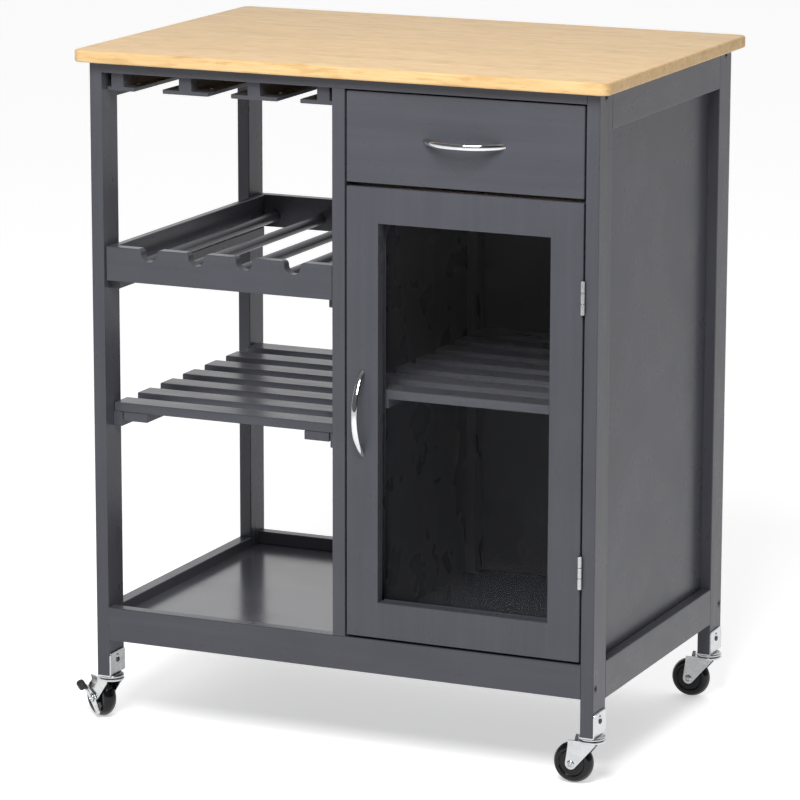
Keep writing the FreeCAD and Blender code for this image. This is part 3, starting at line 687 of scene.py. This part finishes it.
def screwHead(bm, radius, height, place, recess=0.5):
    # pan head: spun dome with a hexagonal well in its middle
    well = radius * recess
    profile = [(radius, 0), (radius, height * 0.35), (radius * 0.93, height * 0.68),
               (radius * 0.78, height * 0.9), (well * 1.25, height), (well, height * 0.95),
               (well * 0.9, height * 0.15), (0, height * 0.1)]
    made = turned(bm, profile, Matrix(), 24)
    for vert in made:
        # the well is pulled in to six sides
        span = math.hypot(vert.co.x, vert.co.y)
        if weld < span <= well * 1.01:
            angle = math.atan2(vert.co.y, vert.co.x) % (math.pi / 3) - math.pi / 6
            pull = math.cos(math.pi / 6) / math.cos(angle)
            vert.co.x *= pull
            vert.co.y *= pull
    bmesh.ops.transform(bm, matrix=place, verts=made)


# head height, how far it stands proud, share of its well, and the shank with the depth of its middle
screws = {
    "frame": {"head": 0.0025, "proud": 0.0005, "recess": 0.5,
              "shank": 0.003, "length": 0.045, "middle": 0.0255, "steps": 20},
    "bracket": {"head": 0.0014, "proud": 0.0, "recess": 0.42,
                "shank": 0.0016, "length": 0.0066, "middle": 0.0049, "steps": 16},
    "handle": {"head": 0.0025, "proud": 0.0, "recess": 0.5,
               "shank": 0.0016, "length": 0.0185, "middle": 0.01175, "steps": 16},
}


def makeScrews(name, node, kind, material, axis):
    # a head and a shank for each screw of a node, along X or Y
    look = screws[kind]
    bm = bmesh.new()
    for low, high in islandBoxes(node):
        # a frame bolt's head is on the outside of its leg, and the others face +X or +Y
        side = -1 if kind == "frame" and low.x < 0 else 1
        face = high[axis] if side > 0 else low[axis]
        head, shank = (low + high) / 2, (low + high) / 2
        head[axis] = face - side * look["head"]
        shank[axis] = face - side * look["middle"]
        outwards = (side, 0, 0) if axis == 0 else (0, side, 0)
        along = (1, 0, 0) if axis == 0 else (0, 1, 0)
        screwHead(bm, (high.z - low.z) / 2, look["head"] + look["proud"], at(*head, outwards), look["recess"])
        rod(bm, look["shank"], look["length"], at(*shank, along), look["steps"])
    standFor(addPiece(name, bm, material, [node]), node)


makeScrews("frameBolts", "frame_bolts", "frame", darkSteel, 0)
makeScrews("casterBracketScrews", "caster_bracket_screws", "bracket", darkSteel, 0)
makeScrews("drawerHandleScrews", "drawer_handle_screws", "handle", zinc, 1)
makeScrews("doorHandleScrews", "door_handle_screws", "handle", zinc, 1)

stemScrews = {
    "radius": 0.0030,
    "height": 0.0011,
    "inset": 0.030,             # in from each end of the rail
    "flange": 0.005,
    # the middle of each rail's web in X, and how far aside its screws stand
    "webs": {-0.29775: 0.0118, -0.2065: 0.0202, -0.11525: 0.0202},
}


def makeStemScrews():
    # the small screws that hold each rail, on the wide side of its flange
    bm = bmesh.new()
    low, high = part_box("stemware_rails")
    flangeTop = low[2] + stemScrews["flange"]
    for web, aside in stemScrews["webs"].items():
        for y in (low[1] + stemScrews["inset"], high[1] - stemScrews["inset"]):
            screwHead(bm, stemScrews["radius"], stemScrews["height"], at(web + aside, y, flangeTop))
    piece = addPiece("stemRailScrews", bm, zinc, ["stemware_rails"])


makeStemScrews()
print("screws made")

for node in ("hinge_frame_leaves", "hinge_door_leaves"):
    easedNode(node, nickel, arris["hinge"], 2, 0.0)
frame["nodes"]["hinge_pins"].material_slots[0].material = nickel
frame["nodes"]["door_strike_plate"].material_slots[0].material = zinc
easedNode("magnetic_catch", mattBlack, arris["small"])


casters = {
    # X and Y of the swivel axis, and the way that the wheel trails in degrees
    "spots": {"front_left": (-0.32175, -0.2, 150), "front_right": (0.32175, -0.2, 180),
              "rear_left": (-0.32175, 0.2, 180), "rear_right": (0.32175, 0.2, 180)},
    "trail": 0.023,
    "axle": 0.025,              # height of the axle
    "axleRadius": 0.003,
}


def casterPlace(spot):
    # the swivel axis is the local Z axis, and the wheel trails along local +X
    x, y, angle = casters["spots"][spot]
    return Matrix.Translation((x, y, 0)) @ Matrix.Rotation(math.radians(angle), 4, "Z")


def axleAt(out, side=1):
    # +Z of a turned part onto the axle, this far out from the middle of the wheel
    return at(casters["trail"], out, casters["axle"], (0, side, 0))


# half section about the axle, as radius and distance from the middle of the wheel
wheel = {
    "half": [(0.00308, 0.0090), (0.0072, 0.0090), (0.0080, 0.0084), (0.0084, 0.0072), (0.0152, 0.0072),
             (0.0160, 0.0080), (0.0168, 0.0089), (0.0180, 0.0090), (0.0203, 0.0088), (0.0216, 0.0080),
             (0.0231, 0.0062), (0.0242, 0.0040), (0.0248, 0.0020), (0.0250, 0.0)],
    "steps": 72,
}


def makeWheel(spot):
    bm = bmesh.new()
    half = wheel["half"]
    mirrored = [(radius, -out) for radius, out in reversed(half[:-1])]
    turned(bm, half + mirrored + [half[0]], axleAt(0), wheel["steps"])
    bmesh.ops.transform(bm, verts=bm.verts, matrix=casterPlace(spot))
    node = spot + "_caster_wheel"
    standFor(addPiece(camel(node), bm, glossyBlack, [node], 30), node)


def slab(bm, circles, corners, near, far, edgeWidth):
    # pressed plate between two distances out: the hull of circles and corner points in local X and Z
    made = []
    for y in (near, far):
        for x, z, radius in circles:
            made += bmesh.ops.create_circle(bm, cap_ends=False, segments=36, radius=radius,
                                            matrix=at(x, y, z, (0, 1, 0)))["verts"]
        made += [bm.verts.new((x, y, z)) for x, z in corners]
    hull = bmesh.ops.convex_hull(bm, input=made)
    inside = set(vertsOf(hull["geom_interior"] + hull["geom_unused"]))
    loose = [vert for vert in made if vert in inside or not vert.link_faces]
    bmesh.ops.delete(bm, geom=loose, context="VERTS")
    made = [vert for vert in made if vert.is_valid]
    edges = inOrder(edge for vert in made for edge in vert.link_edges)
    bmesh.ops.dissolve_limit(bm, angle_limit=0.02, verts=made, edges=edges)
    faces = inOrder(face for vert in made if vert.is_valid for face in vert.link_faces)
    rims = inOrder(edge for face in faces for edge in face.edges
                   if len(edge.link_faces) == 2 and edge.calc_face_angle() > squareEdge)
    roundOff(bm, rims, edgeWidth, 3)


fork = {
    "near": 0.0098, "far": 0.0116,          # inner and outer face of each plate
    "leverFar": 0.0144,                     # where the rivet ends when it also holds a lever
    "corners": [(-0.0100, 0.0552), (0.0258, 0.0552), (-0.0080, 0.0505)],
    "lobe": 0.0070,
    "flare": 0.0024, "flareFrom": 0.0445, "flareTo": 0.0545, "flareCuts": 6,
    "crease": 0.0005, "creaseTop": (0.0090, 0.0550), "creaseWidth": 0.0014, "creaseLength": 0.022,
    "edge": 0.0004,
    "disc": [(0.00308, 0.0558), (0.0146, 0.0558), (0.0157, 0.0555), (0.0164, 0.0548), (0.0165, 0.0540),
             (0.0162, 0.0531), (0.0155, 0.0525), (0.0146, 0.0523), (0.00308, 0.0523), (0.00308, 0.0558)],
    "rivet": [(0.0046, 0), (0.0046, 0.0007), (0.0043, 0.0013), (0.0036, 0.0017), (0.0029, 0.0018),
              (0.0026, 0.0012), (0.0023, 0.0011), (0.0019, 0.0016), (0.0010, 0.0020), (0, 0.0020)],
}


def makeForkPlates(bm):
    lobe = (casters["trail"], casters["axle"], fork["lobe"])
    slab(bm, [lobe], fork["corners"], fork["near"], fork["far"], fork["edge"])
    # cut across at a few heights, then bent outwards under the disc
    start, stop = fork["flareFrom"], fork["flareTo"]
    for step in range(fork["flareCuts"]):
        cutAcross(bm, (0, 0, start + (stop - start) * step / fork["flareCuts"]), (0, 0, 1))
    for vert in bm.verts:
        share = min(1.0, max(0.0, (vert.co.z - start) / (stop - start)))
        vert.co.y += fork["flare"] * share ** 2
    # a crease pressed from the disc down to the axle
    top = Vector((fork["creaseTop"][0], 0, fork["creaseTop"][1]))
    along = (Vector((casters["trail"], 0, casters["axle"] + fork["lobe"])) - top).normalized()
    across = Vector((along.z, 0, -along.x))
    for shift in (-fork["creaseWidth"], 0, fork["creaseWidth"]):
        cutAcross(bm, top + across * shift, across)
    for vert in bm.verts:
        away = vert.co - top
        if abs(away.dot(across)) < 1e-5 and 0 < away.dot(along) < fork["creaseLength"]:
            vert.co.y += fork["crease"]
    copy = bmesh.ops.duplicate(bm, geom=bm.verts[:] + bm.edges[:] + bm.faces[:])["geom"]
    bmesh.ops.scale(bm, vec=(1, -1, 1), verts=vertsOf(copy))
    bmesh.ops.reverse_faces(bm, faces=[item for item in copy if isinstance(item, bmesh.types.BMFace)])


def makeFork(spot):
    node = spot + "_caster_fork"
    bm = bmesh.new()
    makeForkPlates(bm)
    turned(bm, fork["disc"], Matrix(), 64)
    far = fork["leverFar"] if "left" in spot else fork["far"]
    turned(bm, fork["rivet"], axleAt(-fork["far"], -1), 32)
    turned(bm, fork["rivet"], axleAt(far), 32)
    rod(bm, casters["axleRadius"], far + fork["far"], axleAt((far - fork["far"]) / 2), 32)
    bmesh.ops.transform(bm, verts=bm.verts, matrix=casterPlace(spot))
    standFor(addPiece(camel(node), bm, zinc, [node], 35), node)


lever = {
    "near": 0.0120, "far": 0.0140,
    "eye": 0.0065,
    "arm": (0.018, 32), "armEnd": 0.0040,   # length and angle above the horizontal
    "tail": (0.019, -128), "tailEnd": 0.0040,
    "edge": 0.0004,
    "ribs": 0.0006, "ribSink": 0.0003,      # how far the pressed ribs rise and reach in
    "armRib": (0.0082, 0.017), "armRibWidth": 0.0015,
    "tailRibs": (0.0120, 0.0150, 0.0180), "tailRibHalf": 0.0026, "tailRibWidth": 0.0007,
    "tailRibEdge": 0.0003,
    "knobRadius": 0.0052,
    "knob": [(0, 0), (0.0040, 0), (0.0049, 0.0004), (0.0052, 0.0012), (0.0052, 0.0030), (0.0048, 0.0034),
             (0.0052, 0.0038), (0.0052, 0.0056), (0.0048, 0.0060), (0.0052, 0.0064), (0.0052, 0.0088),
             (0.0047, 0.0101), (0.0035, 0.0108), (0, 0.0110)],
}


def fromAxle(length, angle, aside=0.0):
    angle = math.radians(angle)
    return (casters["trail"] + length * math.cos(angle) - aside * math.sin(angle),
            casters["axle"] + length * math.sin(angle) + aside * math.cos(angle))


def makeRib(bm, ends, width, edgeWidth):
    rib = [(*end, width) for end in ends]
    slab(bm, rib, [], lever["far"] - lever["ribSink"], lever["far"] + lever["ribs"], edgeWidth)


def makeLever(spot):
    node = spot + "_brake_lever"
    bm = bmesh.new()
    eye = (casters["trail"], casters["axle"], lever["eye"])
    for way, end in (("arm", lever["armEnd"]), ("tail", lever["tailEnd"])):
        slab(bm, [eye, (*fromAxle(*lever[way]), end)], [], lever["near"], lever["far"], lever["edge"])
    length, angle = lever["arm"]
    makeRib(bm, [fromAxle(reach, angle) for reach in lever["armRib"]], lever["armRibWidth"], lever["edge"])
    half = lever["tailRibHalf"]
    for reach in lever["tailRibs"]:
        ends = [fromAxle(reach, lever["tail"][1], aside) for aside in (-half, half)]
        makeRib(bm, ends, lever["tailRibWidth"], lever["tailRibEdge"])
    bmesh.ops.transform(bm, verts=bm.verts, matrix=casterPlace(spot))
    standFor(addPiece(camel(node), bm, zinc, [node], 35), node)
    # the knob sits on the end of the arm and points along it
    bm = bmesh.new()
    x, z = fromAxle(length, angle)
    along = (math.cos(math.radians(angle)), 0, math.sin(math.radians(angle)))
    turned(bm, lever["knob"], at(x, lever["near"] + lever["knobRadius"], z, along), 40)
    bmesh.ops.transform(bm, verts=bm.verts, matrix=casterPlace(spot))
    knob = addPiece(camel(spot + "_brake_knob"), bm, mattBlack, [node], 25)


bracket = {
    "inner": 0.00825,           # half the width of the leg, along X
    "width": 0.038,
    "thickness": 0.0016,
    "under": 0.0604,            # underside of the part below the leg
    "bend": 0.0016,
    "corner": 0.004,
    "lip": 0.0008,              # the top edge leans out by this, over the last few millimetres
    "lipStart": 0.0035,
    "lipCuts": 4,
    "bump": [(0.0029, 0), (0.0026, 0.0004), (0.0019, 0.0009), (0.0010, 0.0012), (0, 0.0013)],
    "bumpDrop": 0.0062,         # middle of the bump below the top edge
    "race": [(0, 0.0604), (0.0135, 0.0604), (0.0150, 0.0602), (0.0160, 0.0595), (0.0165, 0.0584),
             (0.0164, 0.0575), (0.0158, 0.0567), (0.0148, 0.0564), (0, 0.0564)],
    "kingpin": [(0, 0.0500), (0.0042, 0.0500), (0.0051, 0.0503), (0.0055, 0.0509), (0.0053, 0.0515),
                (0.003, 0.0515), (0.003, 0.0566), (0, 0.0566)],
}


def makeBracketAngle(top):
    # one strip bent up the right side of the leg, then given its thickness
    bm = bmesh.new()
    half = bracket["thickness"] / 2
    floorHeight, wall = bracket["under"] + half, bracket["inner"] + half
    verts = [bm.verts.new((x, -bracket["width"] / 2, z))
             for x, z in ((-bracket["inner"], floorHeight), (wall, floorHeight), (wall, top))]
    edges = [bm.edges.new(pair) for pair in zip(verts, verts[1:])]
    grown = bmesh.ops.extrude_edge_only(bm, edges=edges)["geom"]
    bmesh.ops.translate(bm, vec=(0, bracket["width"], 0), verts=vertsOf(grown))
    bends = [edge for edge in bm.edges if len(edge.link_faces) == 2]
    roundOff(bm, bends, bracket["bend"], 5)
    tips = [vert for vert in bm.verts if vert.co.z > top - 1e-5]
    roundOff(bm, tips, bracket["corner"], 6, affect="VERTICES")
    start = top - bracket["lipStart"]
    for step in range(bracket["lipCuts"]):
        cutAcross(bm, (0, 0, start + (top - start) * step / bracket["lipCuts"]), (0, 0, 1))
    for vert in bm.verts:
        vert.co.x += bracket["lip"] * max(0.0, (vert.co.z - start) / (top - start)) ** 2
    bmesh.ops.recalc_face_normals(bm, faces=bm.faces)
    # solidify works from the drawn sheet to one side, so the angle is moved into place afterwards
    bmesh.ops.solidify(bm, geom=bm.faces[:], thickness=bracket["thickness"])
    bmesh.ops.recalc_face_normals(bm, faces=bm.faces)
    high = max(vert.co.x for vert in bm.verts if vert.co.z < start)
    low = min(vert.co.z for vert in bm.verts)
    shift = (bracket["inner"] + bracket["thickness"] - high, 0, bracket["under"] - low)
    bmesh.ops.translate(bm, vec=shift, verts=bm.verts)
    return bm


def makeBrackets():
    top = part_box("caster_brackets")[1][2]
    outer = bracket["inner"] + bracket["thickness"]
    bm = bmesh.new()
    for x, y, _ in casters["spots"].values():
        one = makeBracketAngle(top)
        turned(one, bracket["bump"], at(outer, 0, top - bracket["bumpDrop"], (1, 0, 0)), 28)
        turned(one, bracket["race"], Matrix(), 64)
        turned(one, bracket["kingpin"], Matrix(), 32)
        bmesh.ops.translate(one, vec=(x, y, 0), verts=one.verts)
        mesh = bpy.data.meshes.new("bracket")
        one.to_mesh(mesh)
        one.free()
        bm.from_mesh(mesh)
        bpy.data.meshes.remove(mesh)
    standFor(addPiece("casterBrackets", bm, zinc, ["caster_brackets"], 35), "caster_brackets")


for spot in casters["spots"]:
    makeWheel(spot)
    makeFork(spot)
    if "left" in spot:
        makeLever(spot)
makeBrackets()
print("casters made")


studio = {
    "floor": (0.88, 0.88, 0.88), "floorTint": 1.01,
    "floorGlow": 0.50,
    "floorSize": 30,
    "behind": 1.15,             # the paper backdrop, which the shelves mirror
    "above": 0.22,
    "ahead": 0.15,              # the dark room behind the camera
    "right": 0.3,               # share of that light left on the right-hand side
    # where each of them fades in, along the direction of view
    "behindFade": (-0.25, 0.45), "aboveFade": (0.35, 0.9), "rightFade": (0.0, 0.8),
    "paper": 0.95,
    "key": 50, "keyFrom": (0.35, -1.6, 2.0), "keyTo": (0.0, -0.2, 0.7), "keySize": 1.0,
}


def floorFinish():
    material, tree, shader = newMaterial("studioFloor")
    pale = tuple(value * studio["floorTint"] for value in studio["floor"])
    colour = ramp(tree, noise(tree, 0.6, 2), [(0.3, studio["floor"]), (0.7, pale)])
    tree.links.new(colour, shader.inputs["Base Color"])
    shader.inputs["Roughness"].default_value = 0.9
    shader.inputs["Specular IOR Level"].default_value = 0.1
    shader.inputs["Emission Color"].default_value = (1, 1, 1, 1)
    shader.inputs["Emission Strength"].default_value = studio["floorGlow"]
    return material


def makeFloor():
    bm = bmesh.new()
    bmesh.ops.create_grid(bm, x_segments=1, y_segments=1, size=studio["floorSize"])
    mesh = bpy.data.meshes.new("studioFloor")
    bm.to_mesh(mesh)
    bm.free()
    mesh.materials.append(floorFinish())
    floor = bpy.data.objects.new("studioFloor", mesh)
    bpy.context.scene.collection.objects.link(floor)


def fade(tree, source, limits, low, high):
    node = mapRange(tree, source, *limits, low, high)
    node.interpolation_type = "SMOOTHSTEP"
    return node.outputs["Result"]


def makeWorld():
    world = bpy.data.worlds.new("studioWorld")
    bpy.context.scene.world = world
    world.use_nodes = True
    tree = world.node_tree
    direction = tree.nodes.new("ShaderNodeTexCoord")
    parts = tree.nodes.new("ShaderNodeSeparateXYZ")
    tree.links.new(direction.outputs["Generated"], parts.inputs[0])
    behind = fade(tree, parts.outputs["Y"], studio["behindFade"], studio["ahead"], studio["behind"])
    above = fade(tree, parts.outputs["Z"], studio["aboveFade"], 0.0, studio["above"])
    right = fade(tree, parts.outputs["X"], studio["rightFade"], 1.0, studio["right"])
    strength = math2(tree, "MULTIPLY", math2(tree, "MAXIMUM", behind, above), right)
    # seen directly it is plain paper white, whatever it lights
    seen = addNode(tree, "ShaderNodeMix", {"B": studio["paper"]})
    lightPath = tree.nodes.new("ShaderNodeLightPath")
    tree.links.new(lightPath.outputs["Is Camera Ray"], seen.inputs["Factor"])
    tree.links.new(strength, seen.inputs["A"])
    background = tree.nodes["Background"]
    background.inputs["Color"].default_value = (1, 1, 1, 1)
    tree.links.new(seen.outputs["Result"], background.inputs["Strength"])


def makeKeyLight():
    key = bpy.data.lights.new("keyLight", "AREA")
    key.shape = "SQUARE"
    key.size = studio["keySize"]
    key.energy = studio["key"]
    lamp = bpy.data.objects.new("keyLight", key)
    lamp.location = studio["keyFrom"]
    lamp.rotation_mode = "QUATERNION"
    aim = Vector(studio["keyFrom"]) - Vector(studio["keyTo"])
    lamp.rotation_quaternion = aim.to_track_quat("Z", "Y")
    bpy.context.scene.collection.objects.link(lamp)


view = {
    "lens": 190.46,
    "sensor": 36,
    "place": (2.0791, -4.6821, 1.5210),
    "round": 24.129,            # degrees to the right of straight ahead
    "down": 12.374,
    "roll": 0.12,
}


def makeCamera():
    camera = bpy.data.cameras.new("mainCamera")
    camera.sensor_width = view["sensor"]
    camera.lens = view["lens"]
    camera.clip_start, camera.clip_end = 0.1, 100
    viewer = bpy.data.objects.new("mainCamera", camera)
    viewer.location = view["place"]
    turns = (("Z", view["round"]), ("X", 90 - view["down"]), ("Z", view["roll"]))
    first, second, third = [Matrix.Rotation(math.radians(angle), 4, axis) for axis, angle in turns]
    viewer.rotation_mode = "QUATERNION"
    viewer.rotation_quaternion = (first @ second @ third).to_quaternion()
    bpy.context.scene.collection.objects.link(viewer)
    bpy.context.scene.camera = viewer


makeFloor()
makeWorld()
makeKeyLight()
makeCamera()
bpy.context.scene.view_settings.view_transform = "Standard"
print("studio made")
